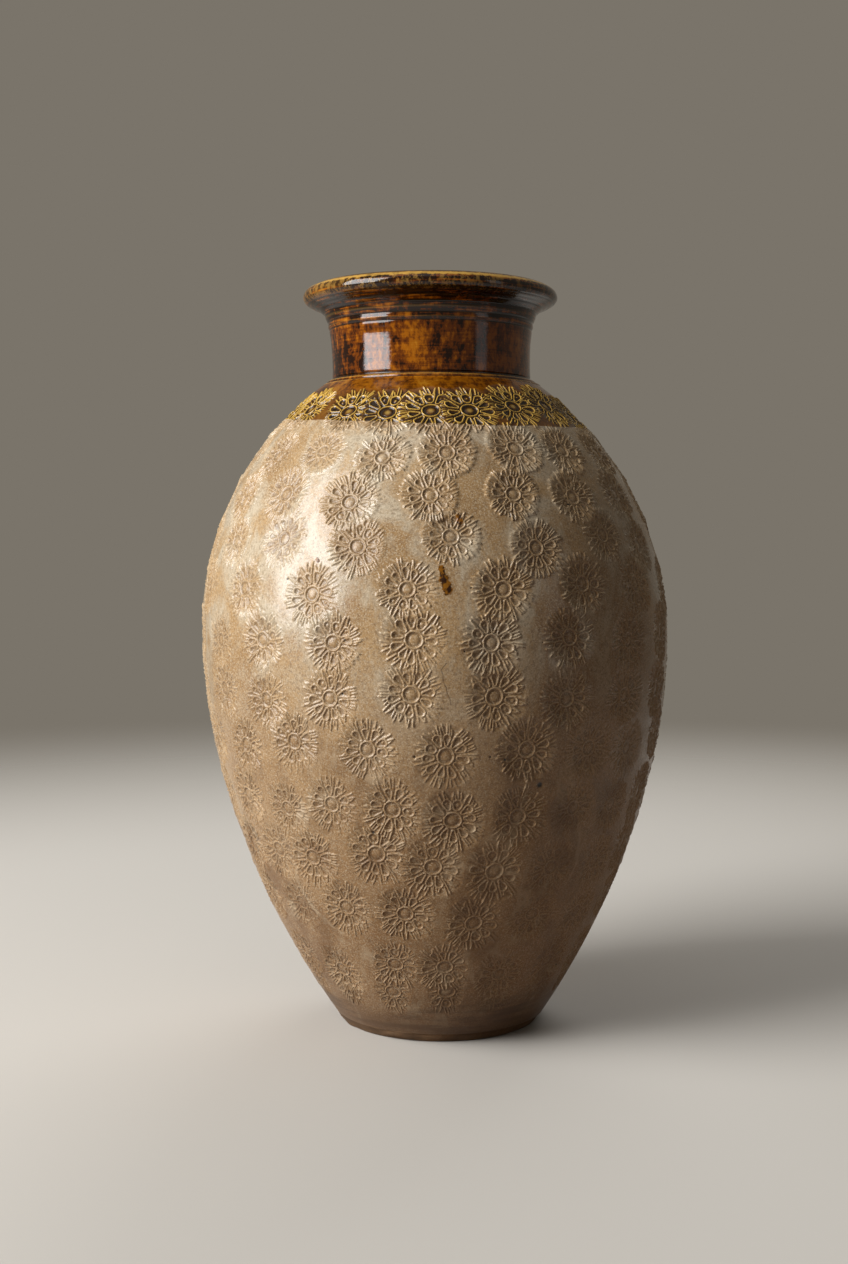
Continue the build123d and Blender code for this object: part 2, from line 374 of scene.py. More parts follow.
# Rows of this many stamps, the crown's and one low on the wall, are pressed larger and hardly turned
UPRIGHT_COUNT = 22
UPRIGHT_TURN = 0.3
UPRIGHT_SIZE = 1.06
OTHER_SIZE = 0.98
SIZE_SPREAD = 0.05
DEPTH_SPREAD = 0.12
RELIEF_SPREAD = 0.15
TILT = 0.20
TILT_SPREAD = 0.16
LEVEL_SPREAD = 1.6 * MM
for count, depth, relief, seen in STAMP_ROWS:
    places = [(*wall_place(x, y), *share) for x, y, *share in seen]
    first, last = places[0][0], places[-1][0]
    hidden = count - len(places)
    level = np.mean([place[1] for place in places])
    for k in range(hidden):
        azimuth = last + (first + TURN - last) * (k + 1) / (hidden + 1)
        places.append((azimuth, level + LEVEL_SPREAD * rng.uniform(-1, 1)))
    upright = count == UPRIGHT_COUNT
    for azimuth, height, *share in places:
        # the first of these draws isn't used
        draws = rng.uniform(-1, 1, 7)
        press_stamp(
            azimuth,
            height,
            depth * (1 + DEPTH_SPREAD * draws[1]),
            relief * (1 + RELIEF_SPREAD * draws[2]) * (share[0] if share else 1),
            (UPRIGHT_TURN if upright else math.pi) * draws[3],
            TILT + TILT_SPREAD * draws[4],
            math.pi * draws[5],
            (UPRIGHT_SIZE if upright else OTHER_SIZE) + SIZE_SPREAD * draws[6],
        )


def trace_gaps(pixels):
    """Distance of each point of the wall from a line drawn through pixels of the photograph."""
    places = [wall_place(x, y) for x, y in pixels]
    gaps = np.full((rows, WALL_COLUMNS), 1.0)
    for (a, low), (b, high) in zip(places, places[1:]):
        radius = float(np.interp((low + high) / 2, meridian[:, 1], meridian[:, 0]))
        start = np.array((a * radius, reach_at(low)))
        leg = np.array((b * radius, reach_at(high))) - start
        off = ((wall_azimuth + math.pi) % TURN - math.pi)[None, :] * radius - start[0]
        up = along[:, None] - start[1]
        share = np.clip((off * leg[0] + up * leg[1]) / (leg @ leg), 0, 1)
        gaps = np.minimum(gaps, np.hypot(off - share * leg[0], up - share * leg[1]))
    return gaps


# Amber that dripped on the ash glaze, as lines of pixels and a half width, and a hairline crack
DRIPS = [
    ([(441, 568), (444, 578)], 1.4 * MM),
    ([(445, 580), (448, 590)], 2.5 * MM),
    ([(458, 517), (460, 521)], 1.7 * MM),
    ([(317, 559), (318, 561)], 0.9 * MM),
]
DRIP_RISE = 0.25 * MM
for pixels, half in DRIPS:
    drip = np.exp(-((trace_gaps(pixels) / half) ** 2))
    wall_drips = np.maximum(wall_drips, drip)
    wall_rise += DRIP_RISE * drip
CRACK = [
    (447, 663), (444, 666), (441, 670), (443, 675), (443, 681),
    (446, 687), (447, 693), (450, 699), (451, 705),
]
CRACK_HALF_WIDTH = 0.4 * MM
CRACK_TONE = 0.6
wall_pits += CRACK_TONE * np.exp(-((trace_gaps(CRACK) / CRACK_HALF_WIDTH) ** 2))

# Pits where grit fell out or a bubble burst, the first ones as pixels and a size
SEEN_PITS = [(540, 785, 1.6 * MM), (373, 833, 0.9 * MM), (505, 760, 0.8 * MM)]
SMALL_PITS = 70
PIT_HEIGHTS = (20, 315)
PIT_SIZES = (0.3, 0.7)
PIT_DEPTH = 0.5
pits = [(*wall_place(x, y), size) for x, y, size in SEEN_PITS]
for k in range(SMALL_PITS):
    pits.append((rng.uniform(0, TURN), rng.uniform(*PIT_HEIGHTS) * MM, rng.uniform(*PIT_SIZES) * MM))
for azimuth, height, size in pits:
    here = reach_at(height)
    near = slice(*np.searchsorted(along, (here - 4 * size, here + 4 * size)))
    off = (wall_azimuth - azimuth + math.pi) % TURN - math.pi
    gap = np.hypot(off[None, :] * meridian[near, :1], (along[near] - here)[:, None])
    hole = np.exp(-((gap / size) ** 2))
    wall_pits[near] = np.maximum(wall_pits[near], hole)
    wall_rise[near] -= PIT_DEPTH * size * hole


# The UV map of a piece: its free edge, and where the piece's rows begin and end
UV_PAD = 0.002
UV_ROWS = (0.02, 0.98)
UV_CAPS = (0.001, 0.999)


def ring_mesh(name, radius, height, columns, outer_rows, attributes, caps=False):
    """A closed solid turned about the jar's axis from rows of radii and heights.

    The first outer_rows rows are the face that shows, from below upwards. Without caps the rows close on
    themselves. With caps the solid ends at the axis, below its first row and above its last one.
    """
    count = len(radius)
    azimuth = np.arange(columns) / columns * TURN
    lean = lean_at(height)
    co = np.stack((radius * np.sin(azimuth) + lean, -radius * np.cos(azimuth), height), 2).reshape(-1, 3)
    i = np.arange(count - 1 if caps else count)[:, None]
    j = np.arange(columns)[None, :]
    above, beside = (i + 1) % count, (j + 1) % columns
    quads = np.stack(
        (i * columns + j, i * columns + beside, above * columns + beside, above * columns + j), 2
    ).reshape(-1, 4)
    u = UV_PAD + (1 - 2 * UV_PAD) * np.arange(columns + 1) / columns
    v = UV_PAD + (1 - 2 * UV_PAD) * np.linspace(*UV_ROWS, count + (0 if caps else 1))
    uv = np.stack(
        (
            np.stack(np.broadcast_arrays(u[j], v[i]), 2),
            np.stack(np.broadcast_arrays(u[j + 1], v[i]), 2),
            np.stack(np.broadcast_arrays(u[j + 1], v[i + 1]), 2),
            np.stack(np.broadcast_arrays(u[j], v[i + 1]), 2),
        ),
        2,
    ).reshape(-1, 2)
    corners = quads.ravel()
    starts = np.arange(0, len(corners), 4)
    if caps:
        low, high = len(co), len(co) + 1
        co = np.vstack((co, (LEAN_AT_FOOT, 0, height[0].mean()), (LEAN_AT_FOOT, 0, height[-1].mean())))
        ring = np.arange(columns)
        after = (ring + 1) % columns
        bottom = np.stack((np.full(columns, low), after, ring), 1)
        last = (count - 1) * columns
        top = np.stack((np.full(columns, high), last + ring, last + after), 1)
        fan = np.vstack((bottom, top)).ravel()
        starts = np.concatenate((starts, len(corners) + np.arange(0, len(fan), 3)))
        corners = np.concatenate((corners, fan))
        mid = (u[ring] + u[ring + 1]) / 2
        level = np.ones(columns)
        fans = (
            (mid, UV_CAPS[0] * level, u[ring + 1], v[0] * level, u[ring], v[0] * level),
            (mid, UV_CAPS[1] * level, u[ring], v[-1] * level, u[ring + 1], v[-1] * level),
        )
        uv = np.vstack((uv, *(np.stack(fan_uv, 1).reshape(-1, 2) for fan_uv in fans)))
    mesh = bpy.data.meshes.new(name)
    mesh.vertices.add(len(co))
    mesh.vertices.foreach_set("co", co.astype(np.float32).ravel())
    mesh.loops.add(len(corners))
    mesh.loops.foreach_set("vertex_index", corners.astype(np.int32))
    mesh.polygons.add(len(starts))
    mesh.polygons.foreach_set("loop_start", starts.astype(np.int32))
    mesh.update(calc_edges=True)
    mesh.validate()
    mesh.shade_smooth()
    layer = mesh.uv_layers.new(name="OFBake")
    layer.data.foreach_set("uv", uv.astype(np.float32).ravel())
    for key, values in attributes.items():
        full = np.zeros((count, columns))
        full[:outer_rows] = values
        full = np.concatenate((full.ravel(), np.zeros(len(co) - full.size)))
        mesh.attributes.new(key, "FLOAT", "POINT").data.foreach_set("value", full.astype(np.float32))
    # creases where the outer face ends
    ends = np.zeros(len(mesh.edges) * 2, np.int32)
    mesh.edges.foreach_get("vertices", ends)
    row_of = ends.reshape(-1, 2) // columns
    crease = (row_of[:, 0] == row_of[:, 1]) & np.isin(row_of[:, 0], (0, outer_rows - 1))
    mesh.attributes.new("sharp_edge", "BOOLEAN", "EDGE").data.foreach_set("value", crease)
    made = bpy.data.objects.new(name, mesh)
    bpy.context.scene.collection.objects.link(made)
    return made


def as_piece(made, node, material):
    """Gives a mesh its material and has it stand for a node of the CAD part."""
    made.data.materials.append(material)
    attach(made, "root")
    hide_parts(node)
    return made


def turned(outer, inner, columns, rise):
    """Rows of radii and heights for ring_mesh from an outer line, moved out by rise, and an inner line."""
    run = np.gradient(outer, axis=0)
    out = np.stack((run[:, 1], -run[:, 0]), 1) / np.linalg.norm(run, axis=1)[:, None]
    radius = outer[:, :1] + out[:, :1] * rise
    height = outer[:, 1:] + out[:, 1:] * rise
    flat = np.ones((1, columns))
    return np.vstack((radius, inner[:, :1] * flat)), np.vstack((height, inner[:, 1:] * flat))


class Nodes:
    """The nodes of a material or world, with short calls for the ones that are used often."""

    def __init__(self, owner, shader="Principled BSDF"):
        owner.use_nodes = True
        self.owner = owner
        self.tree = owner.node_tree
        self.shader = self.tree.nodes[shader]

    def new(self, kind, **inputs):
        node = self.tree.nodes.new("ShaderNode" + kind)
        for key, value in inputs.items():
            self.set(node.inputs[key.replace("_", " ")], value)
        return node

    def set(self, socket, value):
        if isinstance(value, bpy.types.NodeSocket):
            self.tree.links.new(value, socket)
        else:
            socket.default_value = value

    def place(self, scale=(1, 1, 1)):
        """The point on the object, stretched by scale."""
        coords = self.new("TexCoord").outputs["Object"]
        return self.new("Mapping", Vector=coords, Scale=scale).outputs[0]

    def noise(self, scale, detail=4.0, rough=0.55, at=None, distort=0.0):
        node = self.new("TexNoise", Scale=scale, Detail=detail, Roughness=rough, Distortion=distort)
        self.set(node.inputs["Vector"], at if at is not None else self.place())
        return node.outputs[0]

    def attribute(self, name):
        node = self.new("Attribute")
        node.attribute_name = name
        return node.outputs["Fac"]

    def fit(self, value, low, high, to_low=0.0, to_high=1.0):
        node = self.new("MapRange")
        node.interpolation_type = "SMOOTHSTEP"
        for socket, given in zip(node.inputs, (value, low, high, to_low, to_high)):
            self.set(socket, given)
        return node.outputs[0]

    def math(self, kind, a, b=0.0):
        node = self.new("Math")
        node.operation = kind
        for socket, given in zip(node.inputs, (a, b)):
            self.set(socket, given)
        return node.outputs[0]

    def times(self, first, *more):
        for other in more:
            first = self.math("MULTIPLY", first, other)
        return first

    def total(self, *pairs):
        """The sum of values, each times its weight."""
        parts = [self.math("MULTIPLY", value, weight) for value, weight in pairs]
        while len(parts) > 1:
            parts = [self.math("ADD", parts[0], parts[1]), *parts[2:]]
        return parts[0]

    def mix(self, share, a, b):
        node = self.new("Mix")
        node.data_type = "RGBA"
        self.set(node.inputs[0], share)
        for socket, colour in ((node.inputs[6], a), (node.inputs[7], b)):
            self.set(socket, colour if isinstance(colour, bpy.types.NodeSocket) else (*colour, 1))
        return node.outputs[2]

    def blend(self, share, a, b):
        """A number between a and b."""
        node = self.new("Mix")
        node.data_type = "FLOAT"
        for socket, given in zip(node.inputs[:1] + node.inputs[2:4], (share, a, b)):
            self.set(socket, given)
        return node.outputs[0]


def srgb(red, green, blue):
    """A colour given as 0 to 255 on a screen, as the shader wants it."""
    return tuple(c / 255 / 12.92 if c < 10.3 else ((c / 255 + 0.055) / 1.055) ** 2.4 for c in (red, green, blue))


# The amber glaze's colours, as they show on a screen
POOLED = srgb(32, 12, 3)
DEEP_AMBER = srgb(100, 48, 4)
PLAIN_AMBER = srgb(158, 91, 8)
HONEY = srgb(188, 124, 28)
LIP_FLECKS = srgb(142, 108, 50)
LIP_WORN = srgb(150, 108, 44)
LIP_TOP_DARK = srgb(70, 44, 14)
LIP_TOP_LIGHT = srgb(134, 98, 44)
LIP_BAND = srgb(200, 154, 68)
SHOULDER_BROWN = srgb(74, 48, 12)
SHOULDER_DARK = srgb(66, 42, 10)
AMBER_PRESSED = srgb(58, 34, 7)
AMBER_GROUND = srgb(24, 15, 5)
AMBER_LINES = srgb(208, 168, 78)

# Where its looks begin and where they are full, as heights, and for two of them as distances to one side
FLARE = (372.5 * MM, 384.0 * MM)
STREAKED_FLARE = (374.0 * MM, 381.0 * MM)
NECK_BEGINS = (346.0 * MM, 350.0 * MM)
NECK_ENDS = (378.0 * MM, 372.0 * MM)
# painted shade: the neck is made darker towards its left side, which faces the window lamp, partly for dark
# patches its glaze has there
PAINTED_SHADE_SIDE = (-28.0 * MM, -46.0 * MM)
WORN_SIDE = (-40.0 * MM, -60.0 * MM)
LIP_BEGINS = (388.5 * MM, 391.5 * MM)
LIP_TOP = (399.2 * MM, 399.8 * MM)
BAND_BEGINS = (397.6 * MM, 398.2 * MM)
BAND_ENDS = (399.8 * MM, 399.0 * MM)
UNDER_NECK = (347.5 * MM, 345.5 * MM)
UNDER_RING = (346.6 * MM, 345.6 * MM)
TO_DIP_LINE = (342.0 * MM, 336.0 * MM)


def amber_coat(n, lines, height, across):
    """Amber glaze: dark where it pools, honey and gold where it thins, with painted shade on the neck's left
    side, as a colour.
    """
    patches = n.noise(85, 4, 0.62, n.place((1, 1, 0.6)), 0.8)
    mottle = n.noise(400, 4, 0.7, n.place((1, 1, 0.6)))
    throwing = n.noise(55, 3, 0.55, n.place((0.8, 0.8, 16)))
    drips = n.noise(190, 3, 0.55, n.place((1, 1, 0.14)), 0.4)

    # how thin it is: low where it pools
    cover = n.total((patches, 0.36), (mottle, 0.30), (throwing, 0.12), (drips, 0.22))
    cover = n.math("ADD", cover, n.fit(height, *FLARE, 0.0, -0.072))
    # painted shade on the neck's left side, towards the window lamp, besides the dark patches there
    side_shade = n.times(n.fit(across, *PAINTED_SHADE_SIDE), n.fit(height, *NECK_BEGINS), n.fit(height, *NECK_ENDS))
    cover = n.math("ADD", cover, n.times(side_shade, -0.05))
    cover = n.math("ADD", cover, n.fit(height, *UNDER_NECK, 0.0, 0.025))
    streaks = n.times(n.math("SUBTRACT", throwing, 0.5), n.fit(height, *STREAKED_FLARE), 0.5)
    cover = n.math("ADD", cover, streaks)
    amber = n.mix(n.fit(cover, 0.42, 0.475), POOLED, DEEP_AMBER)
    amber = n.mix(n.fit(cover, 0.475, 0.545), amber, PLAIN_AMBER)
    amber = n.mix(n.fit(cover, 0.55, 0.63), amber, HONEY)

    # the lip: flecked, worn at its left end, and golden along its top edge
    lip = n.fit(height, *LIP_BEGINS)
    amber = n.mix(n.times(lip, n.fit(mottle, 0.47, 0.60), 0.75), amber, LIP_FLECKS)
    worn_patches = n.times(n.fit(patches, 0.40, 0.58), n.fit(mottle, 0.40, 0.58, 0.2, 1.0))
    amber = n.mix(n.times(lip, n.fit(across, *WORN_SIDE), worn_patches), amber, LIP_WORN)
    edge = n.total((height, 1.0), (mottle, 0.002))
    top = n.mix(n.fit(cover, 0.44, 0.56), LIP_TOP_DARK, LIP_TOP_LIGHT)
    amber = n.mix(n.fit(edge, *LIP_TOP), amber, top)
    band = n.times(n.fit(edge, *BAND_BEGINS), n.fit(edge, *BAND_ENDS), n.fit(patches, 0.38, 0.52, 0.45, 1.0))
    amber = n.mix(band, amber, LIP_BAND)

    # the shoulder: darker downwards, with gold on the stamps' lines
    amber = n.mix(n.fit(height, *UNDER_RING, 0.0, 0.35), amber, SHOULDER_BROWN)
    amber = n.mix(n.fit(height, *TO_DIP_LINE, 0.0, 0.5), amber, SHOULDER_DARK)
    pressed = n.times(n.fit(n.attribute("stamped"), 0.0, 0.5), n.fit(mottle, 0.42, 0.58, 0.85, 0.4))
    amber = n.mix(pressed, amber, AMBER_PRESSED)
    amber = n.mix(n.fit(lines, -0.05, -0.6, 0.0, 0.85), amber, AMBER_GROUND)
    return n.mix(n.fit(lines, 0.05, 0.85), amber, AMBER_LINES)


# The ash glaze's colours
ASH_BROWN = srgb(157, 124, 83)
ASH_TAN = srgb(184, 151, 107)
ASH_LOW = srgb(146, 107, 68)
ASH_PRESSED = srgb(128, 98, 66)
ASH_MILK = srgb(194, 179, 154)
# painted shade for the stamps' dishes, between their raised lines
ASH_PAINTED_SHADE = srgb(82, 57, 32)
# painted highlight for the stamps' raised lines
ASH_PAINTED_HIGHLIGHT = srgb(222, 197, 160)
ASH_GRAIN = srgb(108, 80, 52)
ASH_DUST = srgb(222, 206, 178)
STAINS = srgb(104, 72, 40)
VEINS = srgb(196, 176, 146)
WIPED = srgb(60, 42, 26)
THIN_AT_FOOT = srgb(104, 76, 50)
SPILT_DARK = srgb(48, 24, 5)
SPILT_LIGHT = srgb(138, 88, 18)
PIT = srgb(34, 23, 14)

# The heights at which its looks begin and at which they are full
BROWNER = (260.0 * MM, 30.0 * MM)
MILKY = (150.0 * MM, 225.0 * MM)
STAINED = (210.0 * MM, 120.0 * MM)
WIPED_FOOT = (34.0 * MM, 12.0 * MM)
THIN_FOOT = (40.0 * MM, 16.0 * MM)
MATT_FOOT = (180.0 * MM, 80.0 * MM)


def ash_coat(n, lines, stamped, height):
    """Ash glaze: tan over stamped clay, milky where it ran thick between the stamps, browner low down.

    Gives its colour and where it is thick.
    """
    blotch = n.noise(14, 5, 0.6, n.place((1, 1, 0.55)), 0.4)
    wash = n.noise(60, 5, 0.65, n.place((1, 1, 0.6)), 0.6)
    runs = n.noise(34, 6, 0.66, n.place((1, 1, 0.6)), 0.8)
    grain = n.noise(700, 4, 0.75)
    dust = n.noise(1300, 3, 0.7)
    ash = n.mix(n.fit(blotch, 0.36, 0.62), ASH_BROWN, ASH_TAN)
    ash = n.mix(n.fit(height, *BROWNER, 0.0, 0.7), ash, ASH_LOW)

    # stamps, and the thick glaze between them
    pressed = n.fit(n.total((stamped, 1.0), (wash, 1.3), (grain, 0.5)), 1.0, 2.0)
    ash = n.mix(n.times(pressed, n.fit(wash, 0.34, 0.60, 0.04, 0.22)), ash, ASH_PRESSED)
    veil = n.total((runs, 1.0), (pressed, -0.10), (wash, 0.3), (grain, 0.14))
    thick = n.times(n.fit(veil, 0.64, 0.86), n.fit(height, *MILKY, 0.06, 1.0))
    ash = n.mix(thick, ash, ASH_MILK)
    # painted shade over the stamps' dishes, between their raised lines
    ash = n.mix(n.fit(lines, -0.05, -0.6, 0.0, 0.42), ash, ASH_PAINTED_SHADE)
    # painted highlight on the stamps' raised lines
    ash = n.mix(n.fit(lines, 0.2, 0.9, 0.0, 0.32), ash, ASH_PAINTED_HIGHLIGHT)
    ash = n.mix(n.fit(grain, 0.46, 0.64, 0.0, 0.55), ash, ASH_GRAIN)
    ash = n.mix(n.fit(dust, 0.48, 0.64, 0.0, 0.5), ash, ASH_DUST)

    # stains and veins low down, and the wiped foot
    low = n.fit(height, *STAINED)
    stains = n.noise(26, 5, 0.66, n.place((1, 1, 0.8)), 1.0)
    ash = n.mix(n.times(low, n.fit(stains, 0.46, 0.66), 0.55), ash, STAINS)
    veins = n.math("SUBTRACT", n.noise(19, 4, 0.6, n.place((1, 1, 0.45)), 0.8), 0.5)
    veins = n.fit(n.math("ABSOLUTE", veins), 0.035, 0.0)
    ash = n.mix(n.times(low, veins, n.fit(wash, 0.40, 0.60), 0.5), ash, VEINS)
    wiped = n.noise(24, 5, 0.6, n.place((1, 1, 9)))
    ash = n.mix(n.times(n.fit(height, *WIPED_FOOT), n.fit(wiped, 0.44, 0.60), 0.7), ash, WIPED)
    ash = n.mix(n.fit(n.total((height, 1.0), (wash, 0.02)), *THIN_FOOT, 0.0, 0.8), ash, THIN_AT_FOOT)

    # spilt amber and pits
    spilt = n.mix(n.fit(n.noise(420, 3, 0.6), 0.42, 0.58), SPILT_DARK, SPILT_LIGHT)
    ragged = n.total((n.attribute("drips"), 1.0), (n.noise(330, 3, 0.6), 1.4))
    ash = n.mix(n.fit(ragged, 1.0, 1.25), ash, spilt)
    return n.mix(n.fit(n.attribute("pits"), 0.2, 0.8), ash, PIT), thick


# The amber glaze's dip line is a tilted plane, a little wavy: its normal, its height at the axis, and how far
# above it the amber begins and is full
DIP_NORMAL = (0.0292, -0.0684, 1.0)
DIP_HEIGHT = 326.8 * MM
DIP_BEGINS = 0.7 * MM
DIP_FULL = 1.4 * MM
DIP_WAVE = 2.2 * MM


def jar_glaze(name, amber_everywhere=False):
    """The jar's coats: amber over neck and shoulder down to its dip line, and an ash glaze below."""
    n = Nodes(bpy.data.materials.new(name))
    lines = n.attribute("lines")
    coords = n.new("TexCoord").outputs["Object"]
    across, _, height = n.new("SeparateXYZ", Vector=coords).outputs
    amber = amber_coat(n, lines, height, across)
    patchy = n.noise(90, 3, 0.6)
    if amber_everywhere:
        n.set(n.shader.inputs["Base Color"], amber)
        n.set(n.shader.inputs["Roughness"], n.fit(patchy, 0.3, 0.7, 0.05, 0.09))
    else:
        stamped = n.attribute("stamped")
        ash, thick = ash_coat(n, lines, stamped, height)
        slope = n.new("VectorMath")
        slope.operation = "DOT_PRODUCT"
        n.set(slope.inputs[0], coords)
        slope.inputs[1].default_value = DIP_NORMAL
        dip = n.total((slope.outputs["Value"], 1.0), (n.noise(60, 3, 0.5), DIP_WAVE))
        glaze = n.fit(dip, DIP_HEIGHT + DIP_BEGINS, DIP_HEIGHT + DIP_FULL)
        n.set(n.shader.inputs["Base Color"], n.mix(glaze, ash, amber))
        rough = n.blend(n.fit(stamped, 0.1, 0.9), n.fit(patchy, 0.3, 0.7, 0.20, 0.28), 0.32)
        rough = n.blend(thick, rough, 0.15)
        rough = n.blend(n.fit(height, *MATT_FOOT, 0.0, 0.8), rough, 0.5)
        n.set(n.shader.inputs["Roughness"], n.blend(glaze, rough, n.fit(stamped, 0.0, 0.5, 0.07, 0.18)))
    n.shader.inputs["Specular IOR Level"].default_value = 0.42 if amber_everywhere else 0.44
    strengths = (0.05, 0.08) if amber_everywhere else (0.22, 0.22)
    fine = n.new("Bump", Height=n.noise(900, 4, 0.65), Strength=strengths[0], Distance=0.4 * MM)
    orange_peel = n.noise(160, 4, 0.6)
    wide = n.new("Bump", Height=orange_peel, Strength=strengths[1], Distance=0.5 * MM, Normal=fine.outputs[0])
    n.set(n.shader.inputs["Normal"], wide.outputs[0])
    return n.owner


def bare_clay(name, tone):
    """Unglazed clay, mottled and gritty."""
    n = Nodes(bpy.data.materials.new(name))
    mottle = n.noise(60, 5, 0.6)
    grit = n.noise(700, 3, 0.7)
    dark = tuple(c * 0.55 for c in tone)
    colour = n.mix(n.fit(mottle, 0.35, 0.65), dark, tone)
    colour = n.mix(n.fit(grit, 0.62, 0.72, 0.0, 0.6), colour, tuple(c * 0.3 for c in tone))
    n.set(n.shader.inputs["Base Color"], colour)
    n.set(n.shader.inputs["Roughness"], n.fit(mottle, 0.3, 0.7, 0.75, 0.95))
    rough = n.new("Bump", Height=n.noise(500, 5, 0.7), Strength=0.5, Distance=0.5 * MM)
    n.set(n.shader.inputs["Normal"], rough.outputs[0])
    return n.owner


wall_material = jar_glaze("ash_and_amber")
amber_material = jar_glaze("amber", amber_everywhere=True)
foot_material = bare_clay("foot_clay", srgb(118, 90, 62))
inner_material = bare_clay("inner_clay", srgb(142, 116, 88))

belly_row = int(np.argmin(np.abs(meridian[:, 1] - BELLY[1])))
crown_row = int(np.argmin(np.abs(meridian[:, 1] - CROWN[1])))


# The shoulder's top: where the neck sits on it, and how far its vault stands in from the outline's middle
NECK_SEAT_RADIUS = 54.0 * MM
VAULT_INSET = 1.0 * MM
INNER_STEP = 3 * MM


def wall_piece(node, first, last):
    """A band of the wall between two rows of its outline, with its smooth inner face."""
    part = slice(first, last + 1)
    inside = (meridian[part] - outward[part] * WALL)[::-1]
    if node == "shoulder":
        throat = (THROAT_RADIUS, SHOULDER_EDGE[1] - THROAT_ROOT_DEPTH)
        halfway = inside[len(inside) // 2] - (VAULT_INSET, 0)
        inside = smooth_line((inside[-1], halfway, throat), 2 * MM)[::-1]
        bevel_foot = SHOULDER_EDGE[1] - SEAM_BEVEL
        neck_seat = np.array(((NECK_SEAT_RADIUS, SHOULDER_EDGE[1]), (THROAT_RADIUS, bevel_foot)))
        inside = np.vstack((neck_seat, inside))
    inside, _ = even(inside, INNER_STEP)
    flat = np.ones((1, WALL_COLUMNS))
    rise = wall_rise[part]
    radius = np.vstack((meridian[part, :1] + outward[part, :1] * rise, inside[:, :1] * flat))
    height = np.vstack((meridian[part, 1:] + outward[part, 1:] * rise, inside[:, 1:] * flat))
    surface = {
        "lines": wall_lines[part],
        "stamped": wall_stamped[part],
        "pits": wall_pits[part],
        "drips": wall_drips[part],
    }
    made = ring_mesh(node + "_body", radius, height, WALL_COLUMNS, last + 1 - first, surface)
    return as_piece(made, node, wall_material)


wall_piece("lower_wall", 0, belly_row)
wall_piece("upper_wall", belly_row, crown_row)
wall_piece("shoulder", crown_row, rows - 1)

# Foot: its edge in millimetres, and the flats under and over it
FOOT_EDGE = [(53.0, 0.0), (53.9, 0.05), (54.6, 0.5), (55.3, 1.4), (57.4, 4.6), (57.8, 5.2)]
FOOT_WAVER = 0.35 * MM
foot_outer = smooth_line(np.array(FOOT_EDGE) * MM, 0.4 * MM)
under = np.linspace(6, 52.6, 24) * MM
over = np.linspace(56, 6, 20) * MM
foot_low = np.stack((under, 0 * under), 1)
foot_high = np.stack((over, 0 * over + FLOOR_HEIGHT), 1)
foot_profile = np.vstack((foot_low, foot_outer, foot_high))
foot_rise = np.zeros((len(foot_profile), NECK_COLUMNS))
edge_rows = slice(len(foot_low) + 2, len(foot_low) + len(foot_outer))
foot_rise[edge_rows] = FOOT_WAVER * cloud(len(foot_outer) - 2, NECK_COLUMNS, 2, 40)
foot = ring_mesh(
    "base_disc_body",
    foot_profile[:, :1] + foot_rise,
    foot_profile[:, 1:] + 0 * foot_rise,
    NECK_COLUMNS,
    len(foot_profile),
    {"lines": 0 * foot_rise},
    caps=True,
)
as_piece(foot, "base_disc", foot_material)


RIDGE_TONE = 0.22
GROOVE_TONE = -0.6
RIDGE_WANDER = 0.25 * MM
THROWING_LINES = 0.025 * MM
NECK_WAVER = 0.08 * MM


def neck_relief(outer, ridges):
    """Turned ridges and grooves (height, rise, half width) with fine throwing lines between them."""
    rise = np.zeros((len(outer), NECK_COLUMNS))
    lines = np.zeros_like(rise)
    wander = RIDGE_WANDER * cloud(2, NECK_COLUMNS, 1, 5)[:1]
    for at, amount, half in ridges:
        shape = np.exp(-(((outer[:, 1:] - at - wander) / half) ** 2))
        rise += amount * shape
        lines += (RIDGE_TONE if amount > 0 else GROOVE_TONE) * shape
    rise += THROWING_LINES * cloud(len(outer), NECK_COLUMNS, max(3, len(outer) // 4), 5)
    rise += NECK_WAVER * cloud(len(outer), NECK_COLUMNS, 4, 9)
    return rise, lines


def neck_piece(node, outer, inner, rise, lines):
    """A piece of the neck, from its outer and inner lines and its relief."""
    rows_of = turned(outer, inner, NECK_COLUMNS, rise)
    made = ring_mesh(node + "_body", *rows_of, NECK_COLUMNS, len(outer), {"lines": lines + 0 * rise})
    return as_piece(made, node, amber_material)


# Neck collar: straight, then flaring, as (radius, height) in millimetres, with its turned ridges and grooves
COLLAR = [
    (54.0, 346.6), (54.0, 350.0), (53.9, 357.0), (54.1, 366.0),
    (54.6, 372.0), (55.5, 378.0), (56.9, 383.0), (58.6, 386.4),
]
COLLAR_INSIDE = [(46.0, 383.4), (46.0, 342.5)]
COLLAR_RIDGES = [
    (349.7 * MM, -0.6 * MM, 0.7 * MM),
    (376.0 * MM, -0.30 * MM, 0.5 * MM),
    (377.7 * MM, 0.18 * MM, 0.5 * MM),
    (379.9 * MM, -0.40 * MM, 0.7 * MM),
    (382.7 * MM, 0.22 * MM, 0.9 * MM),
    (384.9 * MM, -0.20 * MM, 0.5 * MM),
]
collar_outer = smooth_line(np.array(COLLAR) * MM, 0.3 * MM)
collar_inner, _ = even(np.array(COLLAR_INSIDE) * MM, 1.5 * MM)
neck_piece("neck_collar", collar_outer, collar_inner, *neck_relief(collar_outer, COLLAR_RIDGES))

